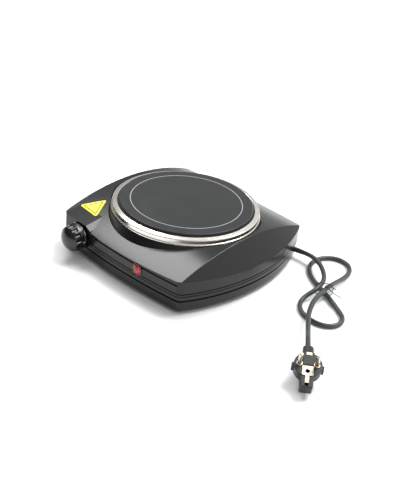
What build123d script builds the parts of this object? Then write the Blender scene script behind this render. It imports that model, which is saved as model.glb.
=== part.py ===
"""Single hot plate with a round glass cooking plate, a thermostat knob and a mains lead.

Millimetres. +Z is up, the floor under the rubber feet is z = 0, and the front, with the knob
and the pilot light, faces -Y. The origin is under the middle of the appliance's length and width.
"""

from build123d import *
from math import asin, atan, cos, pi, radians, sin, tan
import os

os.makedirs("parts", exist_ok=True)

# ---------------------------------------------------------------- driving dimensions
GLASS_TOP = 75.0        # cooking surface above the floor
GLASS_R = 90.0
GLASS_T = 4.0
SEAT_R = 101.5          # raised seat under the trim ring
SEAT_Z = 62.6
SEAT_FOOT_R = 106.0     # foot of the seat's flank, where it meets the arched top
SEAT_FOOT_Z = 52.0
SEAT_SLOPE = 1.164      # at the sides the seat is sunk into the top, inside a sloping rim
OPENING_R = 97.0
CORNER_X = 108.0        # corners of the body, before they are rounded
CORNER_Y = 118.0
SIDE_REACH = 136.0      # the bowed sides at their widest
FRONT_REACH = 126.0     # the bowed front and back
CORNER_R = 12.0
KNOB_REACH = 148.0      # from the plate's axis to the nose of the knob
PLATE_Y = (KNOB_REACH - FRONT_REACH) / 2    # centres the appliance on the origin
WALL = 2.2
BASE_Z = 3.0            # underside of the base pan
BASE_TOP = 18.0
RIM_Z = 20.8            # lower rim of the top cover
ARCH_TOP = 69.0         # crown of the top cover
ARCH_R = 330.0          # the top cover arches from front to back
CREASE_X = 108.5        # where the arched top turns down into the side wings
WING_SLOPE = 0.92
WING_ANGLE = atan(WING_SLOPE)
EDGE_R = 0.9            # rounding of the top cover's upper edges

BOSS_LEFT = -101.0      # thermostat boss at the front left
BOSS_RIGHT = -58.0
BOSS_FACET = 9.0        # run of the sloping facet on its right
BOSS_TOP = 50.6         # at its front face
BOSS_FRONT = 124.0
BOSS_RISE = 0.15

KNOB_X = -70.0
KNOB_Z = 31.0
KNOB_R = 18.0
THERMOSTAT_Z = 33.5     # the thermostat's case sits a little above its shaft
SHAFT_R = 3.0
RUNNING = 0.05          # radial clearance of the turning shaft
LAMP_X = 41.0
LAMP_Z = 35.0
LAMP_R = 7.2

DISH_R = 86.0
DISH_FLOOR = 47.5
DISH_TOP = 69.4         # top of the dish's flange, under the trim ring's ledge
SHEET = 1.0             # pressed steel sheet
POST_X = 96.0           # housing screws
POST_Y = 84.0
FOOT_X = 88.0
FOOT_Y = 92.0

CORD_D = 6.2
CORD_R = CORD_D / 2
CORD_ROUTE = [
    (123.0, 125.0, 12.5), (135.0, 126.0, 13.5), (154.0, 119.0, 14.5), (172.0, 105.0, 14.5),
    (187.0, 86.0, 15.0), (191.5, 63.5, 13.0), (184.0, 41.0, 3.2), (198.0, 20.0, 3.2),
    (218.0, 13.0, 3.2), (238.5, 16.0, 3.2), (249.5, 31.5, 3.2), (245.5, 49.5, 3.2),
    (228.5, 60.5, 3.2), (207.0, 71.5, 4.6), (184.0, 82.0, 4.6), (161.0, 94.5, 3.2),
    (144.0, 112.0, 3.2), (137.0, 134.5, 3.2), (142.5, 153.5, 3.2), (156.5, 165.5, 3.2),
    (175.5, 164.0, 3.2), (188.5, 148.0, 3.6), (193.0, 126.0, 6.0), (195.3, 103.0, 9.6),
    (199.0, 81.0, 15.0), (202.0, 57.0, 15.0), (207.0, 33.0, 15.0), (219.0, 8.0, 15.0),
    (232.0, -11.0, 16.0), (246.0, -31.0, 19.5), (256.0, -46.4, 26.4), (268.4, -63.2, 26.4),
]
PLUG_FACE = Vector(286.5, -87.4, 27.9)      # middle of the plug's pin face
PLUG_X = Vector(0.819, 0.573, 0.027)        # across the two pins
PLUG_UP = Vector(0.168, -0.285, 0.944)      # the way the pins point
PIN_SPACING = 19.0
PIN_R = 2.4
PIN_LENGTH = 19.0
PIN_ROOT_R = 2.2        # the pins are thinner where the plug's body holds them
PIN_ROOT_TOP = 1.0
PLUG_R = 15.8
PLUG_BACK = 26.2        # depth of the plug behind its pin face
TIE_AT = Vector(195.0, 75.5, 9.8)
TIE_TURN = radians(36)                      # direction of the tie's plane in plan


# ---------------------------------------------------------------- work planes
PLATE_AXIS = Axis((0, PLATE_Y, 0), (0, 0, 1))
DIAL_AXIS = Axis((KNOB_X, PLATE_Y - BOSS_FRONT, KNOB_Z), (0, -1, 0))


def spot(x, y, z):
    """A point measured from the cooking plate's axis and the floor."""
    return Vector(x, PLATE_Y + y, z)


def level(z):
    """Horizontal plane on the cooking plate's axis."""
    return Plane(origin=spot(0, 0, z))


def front_plane(reach):
    """Upright plane facing the front, at a distance from the plate's axis; x is X and y is Z."""
    return Plane(origin=spot(0, -reach, 0), x_dir=(1, 0, 0), z_dir=(0, -1, 0))


def side_plane(x):
    """Upright plane facing +X; its x is Y, measured from the plate's axis, and its y is Z."""
    return Plane(origin=spot(x, 0, 0), x_dir=(0, 1, 0), z_dir=(1, 0, 0))


def save(builder, name):
    builder.part.label = name
    export_step(builder.part, f"parts/{name}.step")


def arc_radius(half_chord, rise):
    """Radius of a shallow arc from half its chord and its rise."""
    return (half_chord**2 + rise**2) / (2 * rise)


def dome_arc(rim, rim_height, top):
    """Outline of a spherical dome, from its rim to its top on the axis of revolution."""
    ball = arc_radius(rim, top - rim_height)
    half = asin(rim / ball) / 2
    return ThreePointArc((rim, rim_height), (ball * sin(half), top - ball * (1 - cos(half))), (0, top))


# ---------------------------------------------------------------- shapes used more than once
FRONT_ARC = arc_radius(CORNER_X, FRONT_REACH - CORNER_Y)
SIDE_ARC = arc_radius(CORNER_Y, SIDE_REACH - CORNER_X)


def footprint(inset=0.0):
    """Plan of the body, moved inwards by inset: the overlap of four large discs, with rounded corners."""
    with BuildSketch() as plan:
        Circle(SIDE_ARC)
        for reach, arc, turn in (
            (SIDE_REACH, SIDE_ARC, 0), (FRONT_REACH, FRONT_ARC, 90),
            (SIDE_REACH, SIDE_ARC, 180), (FRONT_REACH, FRONT_ARC, 270),
        ):
            with Locations(Location((0, 0, 0), turn)):
                with Locations(Location((arc - reach, 0, 0), 0)):
                    Circle(arc - inset, mode=Mode.INTERSECT)
        fillet(plan.vertices(), CORNER_R - inset)
    return plan.sketch


def under_arch(crown):
    """Side view of everything below an arched top."""
    half = SIDE_REACH + 10
    shoulder = crown - ARCH_R + (ARCH_R**2 - half**2) ** 0.5
    with BuildSketch() as view:
        with BuildLine():
            ThreePointArc((-half, shoulder), (0, crown), (half, shoulder))
            Polyline((half, shoulder), (half, -200), (-half, -200), (-half, shoulder))
        make_face()
    return view.sketch


def boss_block(inset=0.0):
    """Thermostat boss: flat front, sloping facet on its right, and a top that runs back into the arch."""
    left = BOSS_LEFT + inset
    right = BOSS_RIGHT + BOSS_FACET - inset
    top = BOSS_TOP - inset
    with BuildPart() as block:
        with BuildSketch(front_plane(BOSS_FRONT - inset)):
            with BuildLine():
                Polyline(
                    (left, 0), (left, top), (BOSS_RIGHT, top), (right, top - BOSS_FACET / 2),
                    (right, 0), (left, 0),
                )
            make_face()
        extrude(amount=50, dir=(0, 1, BOSS_RISE))
        if not inset:
            left_edges = block.edges().filter_by_position(Axis.X, left - 0.01, left + 0.01)
            fillet(left_edges.filter_by(Axis.Z).sort_by(Axis.Y)[0], 5)
    return block.part


def below_wing(side, inset):
    """Everything below one wing, which slopes down from the crease at the side of the arch."""
    reach = SIDE_REACH + 20
    with BuildPart() as wing:
        with BuildSketch(side_plane(-side * reach)):
            add(under_arch(ARCH_TOP + WING_SLOPE * (CREASE_X + reach) - inset / cos(WING_ANGLE)))
        extrude(amount=2 * reach / cos(WING_ANGLE), dir=(side, 0, -WING_SLOPE))
    return wing.part


def seat_collar(inset):
    """Round collar that carries the trim ring above the arched top at the front and the back."""
    foot = SEAT_FOOT_R - inset
    top = SEAT_Z - inset
    profile = [(0, 0), (foot, 0), (foot, SEAT_FOOT_Z), (SEAT_R - inset, top), (0, top)]
    return turned(profile, PLATE_AXIS, front_plane(0))


def above_seat(inset):
    """The space over the seat and its sloping rim, which is cut out of the arched top at the sides."""
    drop = inset * (1 + SEAT_SLOPE**2) ** 0.5
    floor_r = SEAT_R + (drop - inset) / SEAT_SLOPE
    brim_r = SEAT_R + (GLASS_TOP - SEAT_Z + drop) / SEAT_SLOPE
    profile = [(0, SEAT_Z - inset), (floor_r, SEAT_Z - inset), (brim_r, GLASS_TOP), (0, GLASS_TOP)]
    return turned(profile, PLATE_AXIS, front_plane(0))


def cover_block(inset=0.0, bottom=RIM_Z):
    """Solid body of the top cover, with its skin moved inwards by inset."""
    with BuildPart() as block:
        with BuildSketch(level(bottom)):
            add(footprint(inset))
        extrude(amount=GLASS_TOP)
        with BuildSketch(side_plane(0)):
            add(under_arch(ARCH_TOP - inset))
        extrude(amount=SIDE_REACH + 20, both=True, mode=Mode.INTERSECT)
        for side in (1, -1):
            add(below_wing(side, inset), mode=Mode.INTERSECT)
        if not inset:
            # the moulding's top edges: the two creases and the outline of the front and the back
            top_edges = block.edges().filter_by(lambda edge: edge.center().Z > 44)
            fillet(top_edges.filter_by(lambda edge: edge.length > 60), EDGE_R)
        add(seat_collar(inset))
        add(above_seat(inset), mode=Mode.SUBTRACT)
        add(boss_block(inset))
        split(bisect_by=level(bottom), keep=Keep.TOP)
    return block.part


def base_block(inset=0.0):
    """Solid body of the base pan, rounded underneath, with its skin moved inwards by inset."""
    with BuildPart() as block:
        with BuildSketch(level(BASE_Z + inset)):
            add(footprint(0.6 + inset))
        extrude(amount=BASE_TOP - BASE_Z - inset)
        fillet(block.faces().sort_by(Axis.Z)[0].edges(), 5 - inset)
    return block.part


def wall_band(bottom, top, depth):
    """Band round the body's outline, for cutting a moulded line of that depth into the wall."""
    with BuildPart() as ring:
        with BuildSketch(level(bottom)):
            add(footprint(-4))
            add(footprint(depth), mode=Mode.SUBTRACT)
        extrude(amount=top - bottom)
        add(boss_block(), mode=Mode.SUBTRACT)
    return ring.part


def tube(points, bend, radius):
    """Round wire or cable along straight runs joined by arcs."""
    with BuildPart() as solid:
        with BuildLine() as path:
            if len(points) > 2:
                FilletPolyline(*points, radius=bend)
            else:
                Line(*points)
        with BuildSketch(Plane(origin=path.line @ 0, z_dir=path.line % 0)):
            Circle(radius)
        sweep()
    return solid.part


def peg(plane, spots, radius, length):
    """Round bars standing on a plane, one at each spot."""
    with BuildPart() as bars:
        with BuildSketch(plane):
            with Locations(spots):
                Circle(radius)
        extrude(amount=length)
    return bars.part


def turned(profile, axis, plane):
    """Body of revolution from a closed outline drawn on a plane through its axis."""
    with BuildPart() as body:
        with BuildSketch(plane):
            with BuildLine():
                Polyline(*profile, close=True)
            make_face()
        revolve(axis=axis)
    return body.part


POSTS = [(x, y) for x in (-POST_X, POST_X) for y in (-POST_Y, POST_Y)]
FEET = [(x, y) for x in (-FOOT_X, FOOT_X) for y in (-FOOT_Y, FOOT_Y)]
LAMP_TILT = LAMP_X / FRONT_ARC          # the front wall is bowed, so the lamp looks a little sideways
LAMP_REACH = FRONT_REACH - LAMP_X**2 / (2 * FRONT_ARC)
LAMP_PLANE = Plane(
    origin=spot(LAMP_X, -LAMP_REACH, LAMP_Z),
    x_dir=(cos(LAMP_TILT), sin(LAMP_TILT), 0),
    z_dir=(sin(LAMP_TILT), -cos(LAMP_TILT), 0),
)
BUSHING_R = 3.7
EXIT = Vector(*CORD_ROUTE[0])
EXIT_RUN = (Vector(*CORD_ROUTE[1]) - EXIT).normalized()
EXIT_PLANE = Plane(origin=EXIT, z_dir=EXIT_RUN)


# ---------------------------------------------------------------- housing
PANEL_TOP = 40.0        # front panel, under the shadow line
PANEL_BOTTOM = 30.2
SHADOW_TOP = 42.4
PANEL_LEFT = -40.0
PANEL_RIGHT = 104.0
GROOVES = [(28.8, 30.2), (25.4, 26.4)]

COVER_OUTER = cover_block()

with BuildPart() as shadow_line:
    with BuildSketch(front_plane(FRONT_REACH + 5)):
        with Locations(((PANEL_LEFT + PANEL_RIGHT) / 2, (PANEL_TOP + SHADOW_TOP) / 2)):
            Rectangle(PANEL_RIGHT - PANEL_LEFT, SHADOW_TOP - PANEL_TOP)
        with Locations((PANEL_LEFT - 5, (PANEL_BOTTOM + SHADOW_TOP) / 2)):
            Rectangle(10, SHADOW_TOP - PANEL_BOTTOM)
    extrude(amount=-25)
    add(wall_band(PANEL_BOTTOM, SHADOW_TOP, 1.4), mode=Mode.INTERSECT)

with BuildPart() as screw_posts:
    add(peg(level(8.4), POSTS, 4.5, 60))
    add(cover_block(WALL / 2, bottom=5), mode=Mode.INTERSECT)

with BuildPart() as top_cover:
    add(COVER_OUTER)
    add(cover_block(WALL), mode=Mode.SUBTRACT)
    add(peg(level(RIM_Z), [(0, 0)], OPENING_R, GLASS_TOP), mode=Mode.SUBTRACT)
    add(screw_posts.part)
    add(peg(level(8), POSTS, 1.75, 16), mode=Mode.SUBTRACT)
    for groove_bottom, groove_top in GROOVES:
        add(wall_band(groove_bottom, groove_top, 1.1), mode=Mode.SUBTRACT)
    add(shadow_line.part, mode=Mode.SUBTRACT)
    add(peg(front_plane(FRONT_REACH - 16), [(KNOB_X, KNOB_Z)], 5.2, 20), mode=Mode.SUBTRACT)
    add(peg(LAMP_PLANE.offset(-10), [(0, 0)], 5.0, 20), mode=Mode.SUBTRACT)
save(top_cover, "top_cover")

with BuildPart() as base_pan:
    add(base_block())
    add(base_block(WALL), mode=Mode.SUBTRACT)
    with BuildSketch(level(13)):
        add(footprint(2.5))
        add(footprint(4.2), mode=Mode.SUBTRACT)
    extrude(amount=10)
    add(peg(level(BASE_Z + 1), POSTS, 6.0, 4.4))
    add(peg(level(BASE_Z), POSTS, 3.9, 2.6), mode=Mode.SUBTRACT)
    add(peg(level(BASE_Z), POSTS, 1.95, 10), mode=Mode.SUBTRACT)
    add(peg(level(BASE_Z), FEET, 4.0, WALL), mode=Mode.SUBTRACT)
    with BuildSketch(level(BASE_Z)):
        with GridLocations(16, 62, 6, 2):
            SlotOverall(34, 4, rotation=90)
    extrude(amount=WALL, mode=Mode.SUBTRACT)
    add(peg(EXIT_PLANE.offset(-21), [(0, 0)], BUSHING_R + 0.05, 13), mode=Mode.SUBTRACT)
    add(peg(EXIT_PLANE.offset(-27), [(0, 0)], BUSHING_R + 0.8, 6.5), mode=Mode.SUBTRACT)
    # holes for the screws that hold the strap, the cord clamp and the terminal block
    add(peg(level(BASE_Z), [(-83, -5), (83, -5), (83, 5)], 1.95, WALL), mode=Mode.SUBTRACT)
save(base_pan, "base_pan")

with BuildPart() as housing_screws:
    add(peg(level(BASE_Z + 0.5), POSTS, 3.6, 2.1))
    add(peg(level(BASE_Z + 2), POSTS, 1.7, 18))
    with BuildSketch(level(BASE_Z + 0.5)):
        with Locations(POSTS):
            Rectangle(4.2, 1)
            Rectangle(1, 4.2)
    extrude(amount=1.2, mode=Mode.SUBTRACT)
save(housing_screws, "housing_screws")

for number, (foot_x, foot_y) in enumerate(FEET, start=1):
    with BuildPart() as foot:
        add(peg(level(0), [(foot_x, foot_y)], 9.0, BASE_Z))
        fillet(foot.edges().sort_by(Axis.Z)[0], 1.0)
        add(peg(level(BASE_Z), [(foot_x, foot_y)], 3.9, WALL + 0.2))
        add(peg(level(BASE_Z + WALL + 0.2), [(foot_x, foot_y)], 4.6, 1.8))
    save(foot, f"foot_{number}")


# ---------------------------------------------------------------- cooking plate
SEAT = GLASS_TOP - GLASS_T

with BuildPart() as glass_plate:
    add(peg(level(SEAT), [(0, 0)], GLASS_R, GLASS_T))
    fillet(glass_plate.edges().sort_by(Axis.Z)[-1], 1.6)
    fillet(glass_plate.edges().sort_by(Axis.Z)[0], 0.5)
save(glass_plate, "glass_plate")

with BuildPart() as trim_ring:
    with BuildSketch(front_plane(0)):
        with BuildLine():
            FilletPolyline(
                (84.2, 69.8), (91.8, 69.8), (92.2, 71.7), (98.4, 70.3),
                (98.6, 65.4), (99.9, 64.5), (99.9, 62.9),
                radius=0.6,
            )
        trace(line_width=0.8)
    revolve(axis=PLATE_AXIS)
save(trim_ring, "trim_ring")

with BuildPart() as glass_seal:
    add(turned(
        [(86, 70.2), (91, 70.2), (91.3, 70.6), (91.3, 72.6), (90.1, 72.4), (90.1, 71), (86, 71)],
        PLATE_AXIS, front_plane(0),
    ))
save(glass_seal, "glass_seal")

with BuildPart() as heater_dish:
    add(turned(
        [
            (0, DISH_FLOOR), (DISH_R, DISH_FLOOR), (DISH_R, DISH_TOP - SHEET), (90.5, DISH_TOP - SHEET),
            (90.5, DISH_TOP), (DISH_R - SHEET, DISH_TOP), (DISH_R - SHEET, DISH_FLOOR + SHEET),
            (0, DISH_FLOOR + SHEET),
        ],
        PLATE_AXIS, front_plane(0),
    ))
    add(peg(side_plane(80), [(0, 62.5)], 3.3, 10), mode=Mode.SUBTRACT)
    add(peg(side_plane(80), [(0, 54.5)], 1.4, 10), mode=Mode.SUBTRACT)
    add(peg(level(DISH_FLOOR), [(14, 0)], 1.9, 2), mode=Mode.SUBTRACT)
save(heater_dish, "heater_dish")

with BuildPart() as insulation_dish:
    floor = DISH_FLOOR + SHEET
    outside = DISH_R - SHEET - 0.3
    add(turned(
        [(0, floor), (outside, floor), (outside, 69), (78, 69), (78, floor + 3.5), (0, floor + 3.5)],
        PLATE_AXIS, front_plane(0),
    ))
    for wall_x in (-90, 70):
        add(peg(side_plane(wall_x), [(0, 62.5)], 3.2, 20), mode=Mode.SUBTRACT)
    add(peg(side_plane(70), [(0, 54.5)], 1.2, 20), mode=Mode.SUBTRACT)
    add(peg(level(floor), [(14, 0)], 1.7, 4), mode=Mode.SUBTRACT)
save(insulation_dish, "insulation_dish")

with BuildPart() as heating_ribbon:
    with BuildSketch(level(floor + 3.5)):
        with BuildLine():
            for turn in range(14):
                side = 1 if turn % 2 == 0 else -1
                near = side * (14 + 4 * turn)
                far = -side * (18 + 4 * turn)
                ThreePointArc((near, 0), ((near + far) / 2, side * (16 + 4 * turn)), (far, 0))
        trace(line_width=1.2)
    extrude(amount=5)
save(heating_ribbon, "heating_ribbon")

with BuildPart() as limiter_rod:
    add(peg(side_plane(-82), [(0, 62.5)], 3.0, 169.5))
save(limiter_rod, "limiter_rod")

with BuildPart() as limiter_switch:
    with BuildSketch(side_plane(87.5)):
        with Locations((0, 58)):
            RectangleRounded(18, 16, 2)
    extrude(amount=8)
save(limiter_switch, "limiter_switch")

with BuildPart() as ribbon_lead:
    add(peg(side_plane(70.7), [(0, 54.5)], 1.0, 87.5 - 70.7))
save(ribbon_lead, "ribbon_lead")

with BuildPart() as mounting_strap:
    with BuildSketch(front_plane(-10)):
        with BuildLine():
            FilletPolyline((-90, 5.8), (-75, 5.8), (-75, 46.9), (75, 46.9), (75, 5.8), (90, 5.8), radius=2)
        trace(line_width=1.2)
    extrude(amount=20)
    add(peg(level(0), [(-83, -5), (83, -5), (83, 5)], 1.95, 10), mode=Mode.SUBTRACT)
    add(peg(level(40), [(14, 0)], 2.4, 10), mode=Mode.SUBTRACT)
save(mounting_strap, "mounting_strap")

STRAP_TOP = 6.4
with BuildPart() as strap_screws:
    spots = [(-83, -5), (83, -5)]
    add(peg(level(STRAP_TOP), spots, 3.4, 2.0))
    add(peg(level(BASE_Z + 0.3), spots, 1.85, STRAP_TOP - BASE_Z))
save(strap_screws, "strap_screws")


# ---------------------------------------------------------------- thermostat and dial
BEHIND_WALL = BOSS_FRONT - WALL
NECK_R = 4.9
DIAL = [(KNOB_X, KNOB_Z)]

with BuildPart() as thermostat_bracket:
    with BuildSketch(front_plane(BEHIND_WALL)):
        with Locations((KNOB_X, THERMOSTAT_Z)):
            RectangleRounded(32, 19.6, 2)
        with Locations((KNOB_X, KNOB_Z)):
            Circle(5.1, mode=Mode.SUBTRACT)
    extrude(amount=-1.2)
save(thermostat_bracket, "thermostat_bracket")

with BuildPart() as thermostat:
    with BuildSketch(front_plane(BEHIND_WALL - 1.2)):
        with Locations((KNOB_X, THERMOSTAT_Z)):
            RectangleRounded(25, 18.6, 2)
    extrude(amount=-22)
    add(peg(front_plane(BEHIND_WALL - 1.2), DIAL, NECK_R, 6.4))
    add(peg(front_plane(BEHIND_WALL - 16), DIAL, SHAFT_R + RUNNING, 30), mode=Mode.SUBTRACT)
    with BuildSketch(front_plane(BEHIND_WALL - 23.2)):
        with Locations((KNOB_X - 6, THERMOSTAT_Z), (KNOB_X + 6, THERMOSTAT_Z)):
            Rectangle(4.8, 0.8)
    extrude(amount=-7)
save(thermostat, "thermostat")

with BuildPart() as thermostat_nut:
    with BuildSketch(front_plane(BOSS_FRONT)):
        with Locations((KNOB_X, KNOB_Z)):
            RegularPolygon(7, 6)
            Circle(NECK_R + 0.08, mode=Mode.SUBTRACT)
    extrude(amount=2)
save(thermostat_nut, "thermostat_nut")

with BuildPart() as dial_bezel:
    with BuildSketch(front_plane(BOSS_FRONT)):
        with Locations((KNOB_X, KNOB_Z)):
            Circle(14.6)
            Circle(8.4, mode=Mode.SUBTRACT)
    extrude(amount=0.9)
save(dial_bezel, "dial_bezel")

NOSE = KNOB_REACH - BOSS_FRONT
FLAT = 1.0              # depth of the flat on the shaft
with BuildPart() as thermostat_shaft:
    add(peg(front_plane(BEHIND_WALL - 15), DIAL, SHAFT_R, NOSE + 12))
    with BuildSketch(front_plane(BOSS_FRONT + 4)):
        with Locations((KNOB_X, KNOB_Z + SHAFT_R)):
            Rectangle(2 * SHAFT_R, 2 * FLAT)
    extrude(amount=30, mode=Mode.SUBTRACT)
save(thermostat_shaft, "thermostat_shaft")

KNOB_BACK = 2.2         # gap between the boss and the knob's skirt
KNOB_PLANE = Plane(origin=spot(KNOB_X, -BOSS_FRONT, KNOB_Z), x_dir=(1, 0, 0), z_dir=(0, 0, -1))
GRIP_R = 16.8
FLUTES = 14
with BuildPart() as knob:
    with BuildSketch(KNOB_PLANE):
        with BuildLine():
            Polyline((0, KNOB_BACK), (KNOB_R, KNOB_BACK), (KNOB_R, KNOB_BACK + 1.6))
            Polyline((KNOB_R, KNOB_BACK + 1.6), (17.6, KNOB_BACK + 2.6), (GRIP_R, 16.5))
            dome_arc(GRIP_R, 16.5, NOSE)
            Line((0, NOSE), (0, KNOB_BACK))
        make_face()
    revolve(axis=DIAL_AXIS)
    circles = knob.edges().filter_by(GeomType.CIRCLE)
    fillet(circles.filter_by(lambda edge: abs(edge.radius - GRIP_R) < 0.01), 3)
    with BuildSketch(front_plane(BOSS_FRONT + 9)):
        with Locations((KNOB_X, KNOB_Z)):
            with PolarLocations(GRIP_R + 1.6, FLUTES, start_angle=180 / FLUTES):
                Circle(2.9)
    extrude(amount=NOSE, mode=Mode.SUBTRACT)
    # hollow underside with the hub that takes the shaft
    with BuildSketch(front_plane(BOSS_FRONT + KNOB_BACK)):
        with Locations((KNOB_X, KNOB_Z)):
            Circle(13.4)
            Circle(8.4, mode=Mode.SUBTRACT)
    extrude(amount=11, mode=Mode.SUBTRACT)
    add(peg(front_plane(BOSS_FRONT + KNOB_BACK), DIAL, 8.5, 4.4), mode=Mode.SUBTRACT)
    with BuildSketch(front_plane(BOSS_FRONT + KNOB_BACK)):
        with Locations((KNOB_X, KNOB_Z)):
            Circle(SHAFT_R + RUNNING)
        with Locations((KNOB_X, KNOB_Z + SHAFT_R)):
            Rectangle(2 * SHAFT_R + 1, 2 * FLAT - 0.1, mode=Mode.SUBTRACT)
    extrude(amount=NOSE - KNOB_BACK - 3.5, mode=Mode.SUBTRACT)
save(knob, "knob")

with BuildPart() as knob_clip:
    with BuildSketch(front_plane(BOSS_FRONT + KNOB_BACK + 7)):
        with Locations((KNOB_X, KNOB_Z)):
            Circle(9.4)
            Circle(8.6, mode=Mode.SUBTRACT)
            Rectangle(3, 12, align=(Align.CENTER, Align.MAX), mode=Mode.SUBTRACT)
    extrude(amount=3)
save(knob_clip, "knob_clip")


# ---------------------------------------------------------------- pilot light
LENS_PLANE = Plane(origin=LAMP_PLANE.origin, x_dir=LAMP_PLANE.x_dir, z_dir=LAMP_PLANE.y_dir * -1)
with BuildPart() as lens_dome:
    with BuildSketch(LENS_PLANE):
        with BuildLine():
            dome_arc(LAMP_R, 0.6, 3.2)
            Polyline((LAMP_R, 0.6), (LAMP_R, 0), (0, 0), (0, 3.2))
        make_face()
    revolve(axis=Axis(LAMP_PLANE.origin, LAMP_PLANE.z_dir))

with BuildPart() as pilot_lens:
    add(peg(LAMP_PLANE.offset(-12), [(0, 0)], 4.85, 12.2))
    add(lens_dome.part)
    add(peg(LAMP_PLANE.offset(-13), [(0, 0)], 3.6, 13), mode=Mode.SUBTRACT)
save(pilot_lens, "pilot_lens")

with BuildPart() as pilot_bezel:
    with BuildSketch(LAMP_PLANE):
        Circle(LAMP_R + 1.2)
        Circle(LAMP_R + 0.1, mode=Mode.SUBTRACT)
    extrude(amount=0.9)
save(pilot_bezel, "pilot_bezel")

with BuildPart() as pilot_lamp:
    add(peg(LAMP_PLANE.offset(-16), [(0, 0)], 3.2, 14))
    fillet(pilot_lamp.edges().sort_by(Axis.Y)[0], 2.4)
save(pilot_lamp, "pilot_lamp")

with BuildPart() as pilot_clip:
    with BuildSketch(LAMP_PLANE.offset(-3.6)):
        RectangleRounded(15, 12, 1.5)
        Circle(4.95, mode=Mode.SUBTRACT)
    extrude(amount=0.8)
save(pilot_clip, "pilot_clip")


# ---------------------------------------------------------------- warning label on the cover
LABEL_CORNERS = [(-101.4, -98.4), (-80.6, -69.0), (-64.3, -101.6)]
with BuildPart() as warning_label:
    with BuildSketch(level(40)) as label_outline:
        with BuildLine():
            Polyline(*LABEL_CORNERS, close=True)
        make_face()
        fillet(label_outline.vertices(), 2.4)
    extrude(amount=30)
    add(cover_block(-0.2), mode=Mode.INTERSECT)
    add(cover_block(-0.02), mode=Mode.SUBTRACT)
save(warning_label, "warning_label")


# ---------------------------------------------------------------- mains entry and wiring
CLAMP_X = 66.0
CLAMP_Y = 79.0          # middle of the clamp, from the plate's axis
INSIDE = [
    EXIT - EXIT_RUN * 25,
    EXIT - EXIT_RUN * 44,
    spot(CLAMP_X, 98, 9),
    spot(CLAMP_X, CLAMP_Y - 4, 9),
]
FLOOR = BASE_Z + WALL

with BuildPart() as cord_bushing:
    with BuildSketch(EXIT_PLANE.offset(-25)):
        Circle(BUSHING_R)
    with BuildSketch(EXIT_PLANE.offset(-15.5)):
        Circle(BUSHING_R)
    with BuildSketch(EXIT_PLANE):
        Circle(CORD_R + 0.2)
    loft(ruled=True)
    with BuildSketch(EXIT_PLANE.offset(-25)):
        Circle(BUSHING_R + 0.7)
    extrude(amount=1.4)
save(cord_bushing, "cord_bushing")

with BuildPart() as cord_inside:
    add(tube(INSIDE, 9, CORD_R))
save(cord_inside, "cord_inside")

with BuildPart() as cord_clamp:
    with BuildSketch(level(FLOOR)):
        with Locations((CLAMP_X, CLAMP_Y)):
            RectangleRounded(26, 8, 2)
    extrude(amount=9)
    add(peg(front_plane(-60), [(CLAMP_X, 9)], CORD_R + 0.05, -40), mode=Mode.SUBTRACT)
    add(peg(level(FLOOR), [(CLAMP_X - 9, CLAMP_Y), (CLAMP_X + 9, CLAMP_Y)], 1.7, 9), mode=Mode.SUBTRACT)
save(cord_clamp, "cord_clamp")

with BuildPart() as clamp_screws:
    spots = [(CLAMP_X - 9, CLAMP_Y), (CLAMP_X + 9, CLAMP_Y)]
    add(peg(level(FLOOR + 9), spots, 3.2, 1.8))
    add(peg(level(FLOOR), spots, 1.65, 9.2))
save(clamp_screws, "clamp_screws")

BLOCK_BACK = 64.0       # rear face of the terminal block, from the plate's axis
BLOCK_FRONT = 48.0
with BuildPart() as terminal_block:
    with BuildSketch(level(FLOOR)):
        with Locations((CLAMP_X, (BLOCK_BACK + BLOCK_FRONT) / 2)):
            Rectangle(28, BLOCK_BACK - BLOCK_FRONT)
    extrude(amount=13)
    with BuildSketch(level(FLOOR + 9)):
        with Locations((CLAMP_X, (BLOCK_BACK + BLOCK_FRONT) / 2)):
            with GridLocations(8, 8, 3, 2):
                Circle(2.3)
    extrude(amount=5, mode=Mode.SUBTRACT)
save(terminal_block, "terminal_block")

with BuildPart() as terminal_screws:
    with BuildSketch(level(FLOOR + 9)):
        with Locations((CLAMP_X, (BLOCK_BACK + BLOCK_FRONT) / 2)):
            with GridLocations(8, 8, 3, 2):
                Circle(2.2)
    extrude(amount=2.2)
save(terminal_screws, "terminal_screws")

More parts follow.
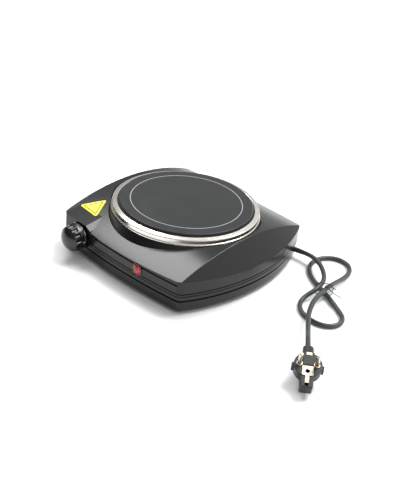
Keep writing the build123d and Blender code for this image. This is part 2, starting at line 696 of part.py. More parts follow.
TAB_Y = -(BEHIND_WALL - 30.2)
WIRES = {
    "core_line": [
        spot(CLAMP_X - 1.6, CLAMP_Y - 4, 9), spot(CLAMP_X - 1.6, 71.5, 9), spot(CLAMP_X - 8, 67.5, 11),
        spot(CLAMP_X - 8, BLOCK_BACK, 11),
    ],
    "core_neutral": [spot(CLAMP_X, CLAMP_Y - 4, 10.8), spot(CLAMP_X, BLOCK_BACK, 10.8)],
    "core_earth": [
        spot(CLAMP_X + 1.6, CLAMP_Y - 4, 9), spot(CLAMP_X + 1.6, 71.5, 9), spot(CLAMP_X + 8, 67.5, 11),
        spot(CLAMP_X + 8, BLOCK_BACK, 11),
    ],
    "wire_line": [
        spot(CLAMP_X - 8, BLOCK_FRONT, 11), spot(CLAMP_X - 8, 20, 11), spot(-40, -20, 10),
        spot(-64, -50, 10), spot(-64, -72, THERMOSTAT_Z), spot(-64, TAB_Y, THERMOSTAT_Z),
    ],
    "wire_neutral": [
        spot(CLAMP_X, BLOCK_FRONT, 11), spot(CLAMP_X, 36, 11), spot(92.5, 22, 12), spot(92.5, 5, 24),
        spot(92.5, 5, 50),
    ],
    "wire_lamp": [
        LAMP_PLANE.origin - LAMP_PLANE.z_dir * 16, LAMP_PLANE.origin - LAMP_PLANE.z_dir * 28,
        spot(46, -70, 12), spot(CLAMP_X - 4, 0, 14), spot(CLAMP_X - 4, BLOCK_FRONT, 14),
    ],
    "wire_heater": [
        spot(-76, TAB_Y, THERMOSTAT_Z), spot(-76, -76, THERMOSTAT_Z), spot(-50, -50, 26),
        spot(-4, -24, 26), spot(14, -4, 30), spot(14, 0, 38), spot(14, 0, floor + 3.5),
    ],
    "wire_earth": [
        spot(CLAMP_X + 8, BLOCK_FRONT, 11), spot(CLAMP_X + 8, 38, 11), spot(83, 26, 6.9), spot(83, 15, 6.9),
    ],
}
for name, points in WIRES.items():
    with BuildPart() as wire:
        add(tube(points, 2.5, 1.0))
    save(wire, name)

with BuildPart() as earth_tag:
    with BuildSketch(level(STRAP_TOP)):
        with Locations((83, 5)):
            Circle(3.4)
        with Locations((83, 10)):
            Rectangle(2.4, 10)
        with Locations((83, 5)):
            Circle(1.95, mode=Mode.SUBTRACT)
    extrude(amount=1)
save(earth_tag, "earth_tag")

with BuildPart() as earth_screw:
    add(peg(level(STRAP_TOP + 1), [(83, 5)], 3.2, 2.0))
    add(peg(level(BASE_Z + 0.3), [(83, 5)], 1.85, STRAP_TOP + 1 - BASE_Z))
save(earth_screw, "earth_screw")


# ---------------------------------------------------------------- mains cord
points = [Vector(*point) for point in CORD_ROUTE]
runs = [end - start for start, end in zip(points, points[1:])]
bends = []
for before, after in zip(runs, runs[1:]):
    half_turn = radians(before.get_angle(after)) / 2
    bends.append(0.45 * min(before.length, after.length) / tan(half_turn))

with BuildPart() as mains_cord:
    with BuildLine() as cord_line:
        FilletPolyline(*points, radius=bends)
    with BuildSketch(Plane(origin=points[0], z_dir=EXIT_RUN)):
        Circle(CORD_R)
    sweep()
save(mains_cord, "mains_cord")
cord_length = sum(edge.length for edge in cord_line.edges())
print("cord bends", [round(bend, 1) for bend in bends])
print("smallest bend", round(min(bends), 1), "length", round(cord_length, 1))
print("volume over section x length", round(mains_cord.part.volume / (pi * CORD_R**2 * cord_length), 4))

with BuildPart() as wire_tie:
    tie_plane = Plane(
        origin=TIE_AT,
        x_dir=(cos(TIE_TURN), sin(TIE_TURN), 0),
        z_dir=(sin(TIE_TURN), -cos(TIE_TURN), 0),
    )
    with BuildSketch(tie_plane):
        RectangleRounded(23.4, 18.8, 6)
        RectangleRounded(21.8, 17.2, 5.2, mode=Mode.SUBTRACT)
    extrude(amount=0.5, both=True)
save(wire_tie, "wire_tie")


# ---------------------------------------------------------------- mains plug
# Drawn in its own directions: x across the pins, y towards the cable, z the way the pins point.
PLUG = Plane(origin=PLUG_FACE, x_dir=PLUG_X, z_dir=PLUG_UP)
PLUG_AXIS = Axis(PLUG.origin, PLUG.z_dir)
PINS = [(-PIN_SPACING / 2, 0), (PIN_SPACING / 2, 0)]
HALF_HEIGHT = 14.6      # the round face is trimmed flat above and below
GRIP_END = -28.6
GRIP_W = 14.4
GRIP_DEPTH = 13.0
RIB_W = 11.6
EARTH_HOLE = (0, -9.0)
ENTRY_PLANE = Plane(origin=points[-1], x_dir=PLUG.x_dir, z_dir=runs[-1].normalized())


def face_box(x, y, width, height, top, depth):
    """Block with its front at a height over the plug's face, reaching back by depth."""
    with BuildPart() as block:
        with BuildSketch(PLUG.offset(top)):
            with Locations((x, y)):
                Rectangle(width, height)
        extrude(amount=-depth)
    return block.part


with BuildPart() as cable_block:
    with BuildSketch(ENTRY_PLANE):
        RectangleRounded(9.6, 9.6, 3.2)
    with BuildSketch(ENTRY_PLANE.offset(3)):
        RectangleRounded(12.2, 12.4, 3.6)
    with BuildSketch(ENTRY_PLANE.offset(20)):
        RectangleRounded(13, 14.4, 3.6)
    loft(ruled=True)

with BuildPart() as grip:
    add(face_box(0, (GRIP_END - 10) / 2, GRIP_W, -10 - GRIP_END, 0, GRIP_DEPTH))
    fillet(grip.edges().filter_by(lambda edge: abs(edge.tangent_at(0.5).dot(PLUG.z_dir)) > 0.99), 2.5)
    fillet(grip.faces().sort_by(PLUG_AXIS)[-1].edges(), 1.2)
    for ridge in range(4):
        for side in (1, -1):
            groove = face_box(side * GRIP_W / 2, GRIP_END + 4 + 3.2 * ridge, 1.6, 1.4, 5, 40)
            add(groove, mode=Mode.SUBTRACT)

with BuildPart() as plug_body:
    with BuildSketch(PLUG):
        Circle(PLUG_R)
        with Locations((0, HALF_HEIGHT + 10), (0, -HALF_HEIGHT - 10)):
            Rectangle(50, 20, mode=Mode.SUBTRACT)
    extrude(amount=-12)
    fillet(plug_body.faces().sort_by(PLUG_AXIS)[-1].edges(), 0.8)
    with BuildSketch(PLUG.offset(-12)):
        Circle(HALF_HEIGHT)
    with BuildSketch(PLUG.offset(-PLUG_BACK)):
        with Locations((0, 1)):
            Circle(9)
    loft(ruled=True)
    add(face_box(0, 6.6, RIB_W, 16.0, 2.0, 10))
    add(cable_block.part)
    add(grip.part)
    for side in (1, -1):
        add(face_box(side * (PLUG_R - 0.5), -1, 5, 5.4, -2, 9))
    # sockets for the pins, the earth contact's hole and the slots in the cable block
    for pin_x, pin_y in PINS:
        add(peg(PLUG.offset(-10), [(pin_x, pin_y)], PIN_ROOT_R + 0.05, 12), mode=Mode.SUBTRACT)
    add(peg(PLUG.offset(-14), [EARTH_HOLE], 2.4, 20), mode=Mode.SUBTRACT)
    add(face_box(0, GRIP_END + 3.2, 4.2, 3.4, 2, 5), mode=Mode.SUBTRACT)
    add(face_box(0, 12.6, 6.4, 3.4, 3, 3), mode=Mode.SUBTRACT)
save(plug_body, "plug_body")

with BuildPart() as plug_pins:
    add(peg(PLUG.offset(-9), PINS, PIN_ROOT_R, 9 + PIN_ROOT_TOP))
    add(peg(PLUG.offset(PIN_ROOT_TOP), PINS, PIN_R, PIN_LENGTH - PIN_ROOT_TOP))
    fillet(plug_pins.faces().sort_by(PLUG_AXIS)[-2:].edges(), 1.8)
save(plug_pins, "plug_pins")

with BuildPart() as pin_collars:
    with BuildSketch(PLUG):
        with Locations(PINS):
            Circle(3.5)
            Circle(PIN_ROOT_R + 0.1, mode=Mode.SUBTRACT)
    extrude(amount=0.8)
save(pin_collars, "pin_collars")

with BuildPart() as plug_earth:
    with BuildSketch(PLUG):
        with Locations((0, -8.2)):
            RectangleRounded(12.4, 12.4, 1.5)
        with Locations((0, -18.8)):
            Rectangle(4.4, 9.8)
        with Locations(EARTH_HOLE):
            Circle(2.5, mode=Mode.SUBTRACT)
    extrude(amount=0.8)
save(plug_earth, "plug_earth")

with BuildPart() as plug_clip:
    add(face_box(0, 12.6, 6.2, 3.2, 2.4, 2.4))
save(plug_clip, "plug_clip")
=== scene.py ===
"""Looks of a single hot plate: black moulded body, round glass cooking plate in a stainless ring,
thermostat dial, pilot light, mains lead and plug. Metres, in the CAD model's frame."""

from math import cos, radians, sin

import bmesh
import bpy
from mathutils import Matrix, Vector


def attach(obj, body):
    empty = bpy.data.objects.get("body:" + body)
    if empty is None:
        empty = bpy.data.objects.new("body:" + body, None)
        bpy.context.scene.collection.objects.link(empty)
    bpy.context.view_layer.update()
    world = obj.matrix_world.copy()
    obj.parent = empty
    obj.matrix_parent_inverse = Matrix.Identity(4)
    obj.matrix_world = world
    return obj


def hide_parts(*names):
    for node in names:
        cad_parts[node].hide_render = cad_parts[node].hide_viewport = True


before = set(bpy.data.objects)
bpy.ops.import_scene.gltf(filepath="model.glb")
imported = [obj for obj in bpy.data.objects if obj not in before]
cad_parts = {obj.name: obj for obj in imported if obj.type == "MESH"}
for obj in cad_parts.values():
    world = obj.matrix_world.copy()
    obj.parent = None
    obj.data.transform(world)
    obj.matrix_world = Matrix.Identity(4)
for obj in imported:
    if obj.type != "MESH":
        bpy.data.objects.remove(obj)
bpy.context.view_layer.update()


# ---------------------------------------------------------------- camera
# A longish lens at the front right, about half a metre above the worktop, leaning a little to one
# side. It aims between the appliance and its plug, so that both are in view.
CAMERA_TARGET = Vector((0.0993, -0.0684, 0.075))
CAMERA_DISTANCE = 0.9644
CAMERA_AZIMUTH = radians(39.68)
CAMERA_HEIGHT_ANGLE = radians(30.6)
CAMERA_LEAN = radians(7.03)
SENSOR_MM = 36
LENS_MM = 57.88

camera_turn = (
    Matrix.Rotation(CAMERA_AZIMUTH, 4, "Z")
    @ Matrix.Rotation(radians(90) - CAMERA_HEIGHT_ANGLE, 4, "X")
    @ Matrix.Rotation(CAMERA_LEAN, 4, "Z")
)
camera_data = bpy.data.cameras.new("camera")
camera_data.sensor_width = SENSOR_MM
camera_data.lens = LENS_MM
camera = bpy.data.objects.new("camera", camera_data)
back_off = Matrix.Translation((0, 0, CAMERA_DISTANCE))
camera.matrix_world = Matrix.Translation(CAMERA_TARGET) @ camera_turn @ back_off
bpy.context.scene.collection.objects.link(camera)
bpy.context.scene.camera = camera


# ---------------------------------------------------------------- body: top cover and base pan
# Heat-resistant black plastic, moulded in polished tools. A little metal flake in it gives the
# broad surfaces a soft sheen, and the mould leaves a very faint ripple.
def linear(hex_colour):
    """The linear values that a shader takes, from an sRGB hex colour."""
    channels = [int(hex_colour[i : i + 2], 16) / 255 for i in (1, 3, 5)]
    return [c / 12.92 if c <= 0.04045 else ((c + 0.055) / 1.055) ** 2.4 for c in channels] + [1.0]


def add_node(tree, kind, props=None, values=None, links=None):
    """Adds a node, sets its properties and its inputs' values, and links its inputs."""
    node = tree.nodes.new(kind)
    for name, value in (props or {}).items():
        setattr(node, name, value)
    for name, value in (values or {}).items():
        node.inputs[name].default_value = value
    for name, source in (links or {}).items():
        tree.links.new(source, node.inputs[name])
    return node


def new_material(name, **values):
    """A material and its Principled shader, with values set on the shader's own sockets."""
    material = bpy.data.materials.new(name)
    material.use_nodes = True
    shader = material.node_tree.nodes["Principled BSDF"]
    for key, value in values.items():
        shader.inputs[key.replace("_", " ").title().replace("Ior", "IOR")].default_value = value
    return material, material.node_tree, shader


def grained(
    name, colour, other_colour, rough, grain_mm, depth_mm, rough_change=0.06, spot_mm=9.0, **values
):
    """A surface with fine grain, two close shades in soft patches, and a roughness to match."""
    material, tree, shader = new_material(name, **values)
    place = add_node(tree, "ShaderNodeTexCoord").outputs["Object"]
    grain = add_node(
        tree, "ShaderNodeTexNoise", values={"Scale": 1000 / grain_mm, "Detail": 2.0},
        links={"Vector": place},
    )
    bump = add_node(
        tree, "ShaderNodeBump", values={"Strength": 1.0, "Distance": depth_mm / 1000},
        links={"Height": grain.outputs["Fac"]},
    )
    patches = add_node(
        tree, "ShaderNodeTexNoise", values={"Scale": 1000 / spot_mm, "Detail": 3.0},
        links={"Vector": place},
    )
    smoothest = rough - rough_change
    roughest = rough + rough_change
    rougher = add_node(
        tree, "ShaderNodeMapRange",
        values={"From Min": 0.3, "From Max": 0.7, "To Min": smoothest, "To Max": roughest},
        links={"Value": patches.outputs["Fac"]},
    )
    shade = add_node(
        tree, "ShaderNodeMix", props={"data_type": "RGBA"},
        values={6: linear(colour), 7: linear(other_colour)}, links={0: patches.outputs["Fac"]},
    )
    tree.links.new(shade.outputs[2], shader.inputs["Base Color"])
    tree.links.new(bump.outputs["Normal"], shader.inputs["Normal"])
    tree.links.new(rougher.outputs["Result"], shader.inputs["Roughness"])
    return material


def dress(material, *names):
    """Gives CAD nodes a finished material in place of their plain one."""
    for name in names:
        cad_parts[name].data.materials.clear()
        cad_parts[name].data.materials.append(material)


body_plastic = grained(
    "body_plastic", "#101112", "#171819", 0.22, grain_mm=1.6, depth_mm=0.0012, rough_change=0.03,
    spot_mm=1.5, specular_ior_level=0.36,
)
dress(body_plastic, "top_cover", "base_pan")


# ---------------------------------------------------------------- cooking plate
# A disc of black glass ceramic, 4 mm thick, with a satin top that blurs what it mirrors. One pale
# circle is printed on it as a guide for the pan. The disc lies in a dark rubber seal.
PLATE_Y = 0.011
PRINT_R = 0.075
PRINT_W = 0.0011


def from_plate_axis(tree):
    """Position nodes measured from the plate's axis: the point itself, and its distance out."""
    place = add_node(tree, "ShaderNodeTexCoord").outputs["Object"]
    centred = add_node(
        tree, "ShaderNodeVectorMath", props={"operation": "SUBTRACT"}, values={1: (0, PLATE_Y, 0)},
        links={0: place},
    )
    flat = add_node(
        tree, "ShaderNodeVectorMath", props={"operation": "MULTIPLY"}, values={1: (1, 1, 0)},
        links={0: centred.outputs["Vector"]},
    )
    radius = add_node(
        tree, "ShaderNodeVectorMath", props={"operation": "LENGTH"}, links={0: flat.outputs["Vector"]}
    )
    return centred.outputs["Vector"], radius.outputs["Value"]


def print_line(tree, distance, where, width, hex_colour):
    """Prints a line over the base colour, wherever a distance is close to a value."""
    on_line = add_node(
        tree, "ShaderNodeMath", props={"operation": "COMPARE"}, values={1: where, 2: width / 2},
        links={0: distance},
    )
    base_colour = tree.nodes["Principled BSDF"].inputs["Base Color"]
    printed = add_node(
        tree, "ShaderNodeMix", props={"data_type": "RGBA"}, values={7: linear(hex_colour)},
        links={0: on_line.outputs["Value"], 6: base_colour.links[0].from_socket},
    )
    tree.links.new(printed.outputs[2], base_colour)


glass = grained(
    "satin_glass", "#1d1e1f", "#232425", 0.36, grain_mm=0.9, depth_mm=0.008, spot_mm=40,
    specular_ior_level=0.32,
)
from_axis, radius = from_plate_axis(glass.node_tree)
print_line(glass.node_tree, radius, PRINT_R, PRINT_W, "#9a9d9d")
dress(glass, "glass_plate")

seal_rubber = grained("seal_rubber", "#0d0d0d", "#161616", 0.65, grain_mm=0.6, depth_mm=0.03)
dress(seal_rubber, "glass_seal")


# ---------------------------------------------------------------- trim ring
# Stainless sheet, spun to shape over a former and polished as it turned, so its fine lines run
# round it and draw each highlight out. Faint straw-coloured patches come from the heat.
STREAK_MM = 0.4     # coarser than the real polishing lines, which are too fine to show
STREAK_LENGTH = 0.0015      # how much a radian round the ring counts for, beside a metre across it
STAIN_MM = 22.2

steel, tree, shader = new_material("spun_stainless", metallic=1.0)
from_axis, radius = from_plate_axis(tree)
axes = add_node(tree, "ShaderNodeSeparateXYZ", links={0: from_axis})
angle = add_node(
    tree, "ShaderNodeMath", props={"operation": "ARCTAN2"},
    links={0: axes.outputs["Y"], 1: axes.outputs["X"]},
)
short_angle = add_node(
    tree, "ShaderNodeMath", props={"operation": "MULTIPLY"}, values={1: STREAK_LENGTH},
    links={0: angle.outputs["Value"]},
)
unrolled = add_node(
    tree, "ShaderNodeCombineXYZ",
    links={"X": radius, "Y": short_angle.outputs["Value"], "Z": axes.outputs["Z"]},
)
streaks = add_node(
    tree, "ShaderNodeTexNoise", values={"Scale": 1000 / STREAK_MM, "Detail": 3.0},
    links={"Vector": unrolled.outputs["Vector"]},
)
place = add_node(tree, "ShaderNodeTexCoord").outputs["Object"]
stains = add_node(
    tree, "ShaderNodeTexNoise", values={"Scale": 1000 / STAIN_MM, "Detail": 2.0},
    links={"Vector": place},
)
polish = add_node(
    tree, "ShaderNodeMapRange",
    values={"From Min": 0.3, "From Max": 0.7, "To Min": 0.14, "To Max": 0.28},
    links={"Value": streaks.outputs["Fac"]},
)
warmth = add_node(
    tree, "ShaderNodeMix", props={"data_type": "RGBA"},
    values={6: linear("#e2e1de"), 7: linear("#cfc7bc")}, links={0: stains.outputs["Fac"]},
)
lines = add_node(
    tree, "ShaderNodeBump", values={"Strength": 1.0, "Distance": 0.000012},
    links={"Height": streaks.outputs["Fac"]},
)
tree.links.new(warmth.outputs[2], shader.inputs["Base Color"])
tree.links.new(polish.outputs["Result"], shader.inputs["Roughness"])
tree.links.new(lines.outputs["Normal"], shader.inputs["Normal"])
dress(steel, "trim_ring")


# ---------------------------------------------------------------- dial
# A knob moulded in glossy black phenolic, with flutes for the fingers, pushed on to the thermostat's
# shaft. White numbers are printed round its plain band, one every 75 degrees, and a short arc lies
# on its skirt halfway between two numbers.
DIAL = Vector((-0.070, -0.113, 0.031))  # on the knob's axis, at the front face of the boss
NUMBER_STEP = radians(75)
NUMBER_DEPTH = 0.0068
NUMBER_SIZE = 0.0046
INK_LIFT = 0.00012

dial_plastic = grained(
    "dial_plastic", "#0f1012", "#151618", 0.2, grain_mm=0.8, depth_mm=0.002, rough_change=0.04
)
dress(dial_plastic, "knob", "dial_bezel")
ink = grained("white_ink", "#e6e8e8", "#cdd1d2", 0.5, grain_mm=0.3, depth_mm=0.01, spot_mm=2)


def wrap_on_dial(mesh, angle, depth, rim):
    """Lays a flat mesh round the knob: its x runs round the knob, its y towards the boss."""
    for vertex in mesh.vertices:
        turn = angle - vertex.co.x / rim
        out = depth - vertex.co.y
        vertex.co = DIAL + Vector((rim * cos(turn), -out, rim * sin(turn)))
    mesh.materials.clear()
    mesh.materials.append(ink)


def print_on_dial(name, mesh):
    """Makes a piece of the dial's printing that turns with the knob."""
    piece = bpy.data.objects.new(name, mesh)
    bpy.context.scene.collection.objects.link(piece)
    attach(piece, "dial")


# The band starts 4.8 mm from the boss at a radius of 17.6 mm, and narrows by 0.8 mm in 11.7 mm.
BAND_START = 0.0048
BAND_R = 0.0176
BAND_TAPER = 0.0008 / 0.0117
number_r = BAND_R - BAND_TAPER * (NUMBER_DEPTH - BAND_START)

for number in range(5):
    letters = bpy.data.curves.new("number", "FONT")
    letters.body = str(number)
    letters.size = NUMBER_SIZE
    letters.align_x = "CENTER"
    letters.align_y = "CENTER"
    letters.resolution_u = 4
    flat_number = bpy.data.objects.new("flat_number", letters)
    number_mesh = bpy.data.meshes.new_from_object(flat_number)
    bpy.data.objects.remove(flat_number)
    wrap_on_dial(number_mesh, number * NUMBER_STEP, NUMBER_DEPTH, number_r + INK_LIFT)
    print_on_dial(f"dial_number_{number}", number_mesh)

ARC_STEPS = 12
ARC_HALF_LENGTH = 0.0028
ARC_HALF_WIDTH = 0.0003
ARC_DEPTH = 0.0030
SKIRT_R = 0.0180
for arc in range(4):
    strip = bmesh.new()
    bmesh.ops.create_grid(strip, x_segments=ARC_STEPS, y_segments=1, size=1)
    bmesh.ops.scale(strip, vec=(ARC_HALF_LENGTH, ARC_HALF_WIDTH, 1), verts=strip.verts)
    arc_mesh = bpy.data.meshes.new("dial_arc")
    strip.to_mesh(arc_mesh)
    strip.free()
    wrap_on_dial(arc_mesh, (arc + 0.5) * NUMBER_STEP, ARC_DEPTH, SKIRT_R + INK_LIFT)
    print_on_dial(f"dial_arc_{arc}", arc_mesh)


# ---------------------------------------------------------------- pilot light
# A domed lens of clear red plastic, faceted inside so that it sparkles when the lamp is off, in a
# gloss black bezel pushed into the front. The sparkle is painted into its colour: bright red at each
# facet's centre is a painted highlight, and dark red towards its edges is painted shade. The glow
# lamp sits behind it, in a spring clip.
FACET_MM = 3.03
lens, tree, shader = new_material(
    "red_lens", roughness=0.08, coat_weight=0.4, specular_ior_level=0.6
)
place = add_node(tree, "ShaderNodeTexCoord").outputs["Object"]
facets = add_node(
    tree, "ShaderNodeTexVoronoi", values={"Scale": 1000 / FACET_MM}, links={"Vector": place}
)
# Distance from each facet's centre. It sets the painted highlight and shade below, not a real depth.
depth = add_node(
    tree, "ShaderNodeMapRange", values={"From Min": 0.1, "From Max": 0.8},
    links={"Value": facets.outputs["Distance"]},
)
# Painted facet light: bright red at the facet centres as a painted highlight, dark red at their edges
# as painted shade.
painted_facet_light = add_node(
    tree, "ShaderNodeMix", props={"data_type": "RGBA"},
    values={6: linear("#e0202c"), 7: linear("#3d0308")}, links={0: depth.outputs["Result"]},
)
relief = add_node(
    tree, "ShaderNodeBump", values={"Strength": 1.0, "Distance": 0.0006},
    links={"Height": facets.outputs["Distance"]},
)
tree.links.new(painted_facet_light.outputs[2], shader.inputs["Base Color"])
tree.links.new(relief.outputs["Normal"], shader.inputs["Normal"])
dress(lens, "pilot_lens")

bezel_plastic = grained("bezel_plastic", "#101011", "#161617", 0.18, grain_mm=0.8, depth_mm=0.005)
dress(bezel_plastic, "pilot_bezel")
lamp_glass = grained(
    "lamp_glass", "#d9a58c", "#e8c9b4", 0.1, grain_mm=2, depth_mm=0.01, rough_change=0.03,
    transmission_weight=0.6,
)
dress(lamp_glass, "pilot_lamp")


# ---------------------------------------------------------------- label
# A sticker of yellow paper under a clear film, with round corners, stuck down on the cover. A dark
# line runs inside its edge, and it carries no words and no sign.
LABEL_CORNERS_MM = [(-101.4, -87.4), (-80.6, -58.0), (-64.3, -90.6)]
LINE_INSET = 0.0036
LINE_W = 0.0013

paper = grained("label_paper", "#f1e32a", "#e8d722", 0.35, grain_mm=0.4, depth_mm=0.006, spot_mm=14)
tree = paper.node_tree
place = add_node(tree, "ShaderNodeTexCoord").outputs["Object"]
nearest = None
for start, end in zip(LABEL_CORNERS_MM, LABEL_CORNERS_MM[1:] + LABEL_CORNERS_MM[:1]):
    along = (Vector(end) - Vector(start)).normalized()
    inwards = Vector((along.y, -along.x, 0))
    reach = add_node(
        tree, "ShaderNodeVectorMath", props={"operation": "DOT_PRODUCT"}, values={1: inwards},
        links={0: place},
    )
    edge_reach = (inwards.x * start[0] + inwards.y * start[1]) / 1000
    inside = add_node(
        tree, "ShaderNodeMath", props={"operation": "SUBTRACT"}, values={1: edge_reach},
        links={0: reach.outputs["Value"]},
    )
    if nearest is None:
        nearest = inside.outputs["Value"]
    else:
        nearest = add_node(
            tree, "ShaderNodeMath", props={"operation": "MINIMUM"},
            links={0: nearest, 1: inside.outputs["Value"]},
        ).outputs["Value"]
print_line(tree, nearest, LINE_INSET, LINE_W, "#2f2c10")
dress(paper, "warning_label")


# ---------------------------------------------------------------- feet, screws and pressed steel
# Matt black rubber feet are pushed into the base. The screws, strap, brackets and clips are steel
# with a bright, slightly clouded zinc plating, and the dish under the glass is bare pressed steel
# that heat has dulled. The earth tag and its screw are brass.
foot_rubber = grained("foot_rubber", "#17181a", "#202124", 0.75, grain_mm=0.7, depth_mm=0.05)
dress(foot_rubber, "foot_1", "foot_2", "foot_3", "foot_4")
zinc = grained(
    "zinc_plate", "#a9acb0", "#bcbdbd", 0.32, grain_mm=1.2, depth_mm=0.01, rough_change=0.08,
    spot_mm=5, metallic=1.0,
)
dress(
    zinc, "housing_screws", "strap_screws", "clamp_screws", "terminal_screws", "thermostat_nut",
    "thermostat_shaft", "mounting_strap", "thermostat_bracket", "pilot_clip", "knob_clip",
)
dish_steel = grained(
    "dish_steel", "#8d8c88", "#6f6a63", 0.4, grain_mm=1.5, depth_mm=0.02, rough_change=0.1,
    spot_mm=18, metallic=1.0,
)
dress(dish_steel, "heater_dish")
brass = grained(
    "brass", "#c7a04c", "#b48a3c", 0.3, grain_mm=0.8, depth_mm=0.01, spot_mm=3, metallic=1.0
)
dress(brass, "earth_tag", "earth_screw")


# ---------------------------------------------------------------- heater, limiter and thermostat
# A ribbon of heating alloy, dark and dull with oxide, stands in a dish of pressed fibre that is
# off-white and chalky. The limiter's switch and the thermostat's case are unglazed steatite.
insulation = grained("insulation", "#ddd8cb", "#cfc9ba", 0.9, grain_mm=1.0, depth_mm=0.15, spot_mm=12)
dress(insulation, "insulation_dish")
heating_alloy = grained(
    "heating_alloy", "#4a4643", "#35322f", 0.55, grain_mm=0.6, depth_mm=0.03, spot_mm=7, metallic=0.8
)
dress(heating_alloy, "heating_ribbon", "ribbon_lead", "limiter_rod")
steatite = grained("steatite", "#e2ddcf", "#d4cebe", 0.7, grain_mm=0.7, depth_mm=0.04, spot_mm=6)
dress(steatite, "limiter_switch", "thermostat")


# ---------------------------------------------------------------- wiring
# Wires with a soft satin jacket of silicone, in brown, blue and green, run from the terminal block.
# The block and the clamp that grips the lead are moulded in white nylon.
nylon = grained("white_nylon", "#e4e4dd", "#d9d9d0", 0.5, grain_mm=0.8, depth_mm=0.02)
dress(nylon, "terminal_block", "cord_clamp")
WIRE_COLOURS = {
    "brown_wire": ("#6b4429", "#5c3a23", ("core_line", "wire_line", "wire_heater")),
    "blue_wire": ("#2f62a8", "#285593", ("core_neutral", "wire_neutral", "wire_lamp")),
    "green_wire": ("#5f9c3c", "#4f8733", ("core_earth", "wire_earth")),
}
for name, (colour, other_colour, nodes) in WIRE_COLOURS.items():
    silicone = grained(name, colour, other_colour, 0.45, grain_mm=0.5, depth_mm=0.015, spot_mm=4)
    dress(silicone, *nodes)


# ---------------------------------------------------------------- plug
# The plug's body is moulded on the lead in soft black PVC with a fine satin texture. Its pins, its
# earth plate and clip and the pins' collars look alike: brass, plated with nickel that is warm in
# tone and a little duller in places where fingers have touched it.
pvc_plug = grained(
    "pvc_plug", "#1b1d1e", "#232527", 0.42, grain_mm=0.5, depth_mm=0.02, specular_ior_level=0.45
)
dress(pvc_plug, "plug_body")
nickel = grained(
    "nickel_plate", "#e6dccb", "#d6c9b4", 0.24, grain_mm=1.0, depth_mm=0.006, rough_change=0.08,
    spot_mm=4, metallic=1.0,
)
dress(nickel, "plug_pins", "pin_collars", "plug_earth", "plug_clip")


# ---------------------------------------------------------------- wire tie
# A thin wire coated in black plastic is wrapped round the lead where its strands cross. Its two
# ends stick out to one side and droop a little.
TIE_TAILS_MM = [
    [
        (198.5, 70.0, 19.2), (203.0, 69.2, 19.4), (208.0, 69.0, 17.5), (216.0, 69.6, 14.6),
        (225.0, 70.4, 14.2),
    ],
    [(198.5, 71.5, 19.2), (202.5, 74.5, 19.2), (206.0, 78.0, 16.5), (209.5, 81.6, 13.8)],
]
TIE_WIRE_R = 0.0005

tie_plastic = grained(
    "tie_plastic", "#151618", "#1e2022", 0.4, grain_mm=0.5, depth_mm=0.01, spot_mm=3
)
dress(tie_plastic, "wire_tie")


def round_line(name, route_mm, radius, material):
    """A round flexible line through a route: a NURBS curve with a round section."""
    curve = bpy.data.curves.new(name, "CURVE")
    curve.dimensions = "3D"
    spline = curve.splines.new("NURBS")
    spline.points.add(len(route_mm) - 1)
    for point, spot in zip(spline.points, route_mm):
        point.co = [value / 1000 for value in spot] + [1.0]
    spline.order_u = 3
    spline.use_endpoint_u = True
    spline.resolution_u = 14
    curve.bevel_depth = radius
    curve.bevel_resolution = 8
    curve.use_fill_caps = True
    curve.materials.append(material)
    line = bpy.data.objects.new(name, curve)
    bpy.context.scene.collection.objects.link(line)
    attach(line, "housing")
    return line


for number, route in enumerate(TIE_TAILS_MM, start=1):
    tail = round_line(f"tie_tail_{number}", route, TIE_WIRE_R, tie_plastic)


# ---------------------------------------------------------------- mains lead
# A round lead with a satin PVC jacket, 6.2 mm across and soft enough to lie in loops. Part of it is
# doubled into a figure of eight. It leaves the base through a tapered bushing of the same PVC.
CORD_MM = 6.2
CORD_ROUTE_MM = [
    (123.0, 125.0, 12.5), (135.0, 126.0, 13.5), (154.0, 119.0, 14.5), (172.0, 105.0, 14.5),
    (187.0, 86.0, 15.0), (191.5, 63.5, 13.0), (184.0, 41.0, 3.2), (198.0, 20.0, 3.2),
    (218.0, 13.0, 3.2), (238.5, 16.0, 3.2), (249.5, 31.5, 3.2), (245.5, 49.5, 3.2),
    (228.5, 60.5, 3.2), (207.0, 71.5, 4.6), (184.0, 82.0, 4.6), (161.0, 94.5, 3.2),
    (144.0, 112.0, 3.2), (137.0, 134.5, 3.2), (142.5, 153.5, 3.2), (156.5, 165.5, 3.2),
    (175.5, 164.0, 3.2), (188.5, 148.0, 3.6), (193.0, 126.0, 6.0), (195.3, 103.0, 9.6),
    (199.0, 81.0, 15.0), (202.0, 57.0, 15.0), (207.0, 33.0, 15.0), (219.0, 8.0, 15.0),
    (232.0, -11.0, 16.0), (246.0, -31.0, 19.5), (256.0, -46.4, 26.4), (268.4, -63.2, 26.4),
]

pvc_lead = grained(
    "pvc_lead", "#292c2e", "#33373a", 0.38, grain_mm=0.5, depth_mm=0.02, rough_change=0.05, spot_mm=12
)
lead = round_line("lead", CORD_ROUTE_MM, CORD_MM / 2000, pvc_lead)
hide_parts("mains_cord")
dress(pvc_lead, "cord_inside", "cord_bushing")


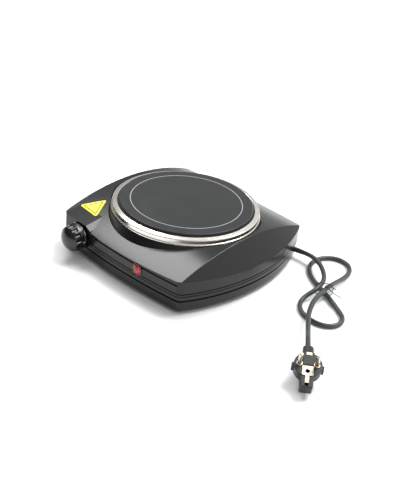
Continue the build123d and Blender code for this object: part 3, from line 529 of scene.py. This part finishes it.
# ---------------------------------------------------------------- floor and light
# A plain white worktop in a white studio that is darkest to the front left. A softbox on the left
# lights the top's front slope, and a broad soft sun stands overhead, a little to the back.
bpy.ops.mesh.primitive_plane_add(size=60, location=(0, 0, 0))
floor = bpy.context.object
floor.name = "floor"
floor_white = grained(
    "floor_white", "#f6f6f6", "#f3f3f3", 0.9, grain_mm=4, depth_mm=0.01, spot_mm=400
)
floor.data.materials.append(floor_white)

world = bpy.data.worlds.new("room")
bpy.context.scene.world = world
world.use_nodes = True
tree = world.node_tree
heading = add_node(tree, "ShaderNodeTexCoord").outputs["Generated"]
bright_side = Vector((0.6, 0.6, 0.5)).normalized()
DARK_SIDE_STRENGTH = 0.02
BRIGHT_SIDE_STRENGTH = 1.2
lean = add_node(
    tree, "ShaderNodeVectorMath", props={"operation": "DOT_PRODUCT"}, values={1: bright_side},
    links={0: heading},
)
strength = add_node(
    tree, "ShaderNodeMapRange",
    values={
        "From Min": -0.75, "From Max": 1.0,
        "To Min": DARK_SIDE_STRENGTH, "To Max": BRIGHT_SIDE_STRENGTH,
    },
    links={"Value": lean.outputs["Value"]},
)
tree.links.new(strength.outputs["Result"], tree.nodes["Background"].inputs["Strength"])
tree.nodes["Background"].inputs["Color"].default_value = (1, 1, 1, 1)

SOFTBOX = Vector((-0.455, 0.08, 0.785))
SOFTBOX_AIM = Vector((0.03, -0.09, 0.05))
softbox_data = bpy.data.lights.new("top_softbox", "AREA")
softbox_data.size = 0.36
softbox_data.energy = 4.2
softbox = bpy.data.objects.new("top_softbox", softbox_data)
bpy.context.scene.collection.objects.link(softbox)
softbox_turn = (SOFTBOX_AIM - SOFTBOX).to_track_quat("-Z", "Y")
softbox.matrix_world = Matrix.Translation(SOFTBOX) @ softbox_turn.to_matrix().to_4x4()

TOWARDS_SUN = Vector((0.1, 0.5, 0.86))
sun_data = bpy.data.lights.new("overhead_sun", "SUN")
sun_data.energy = 2.6
sun_data.angle = radians(30)
sun = bpy.data.objects.new("overhead_sun", sun_data)
bpy.context.scene.collection.objects.link(sun)
sun.matrix_world = TOWARDS_SUN.to_track_quat("Z", "Y").to_matrix().to_4x4()
bpy.context.scene.view_settings.view_transform = "Standard"
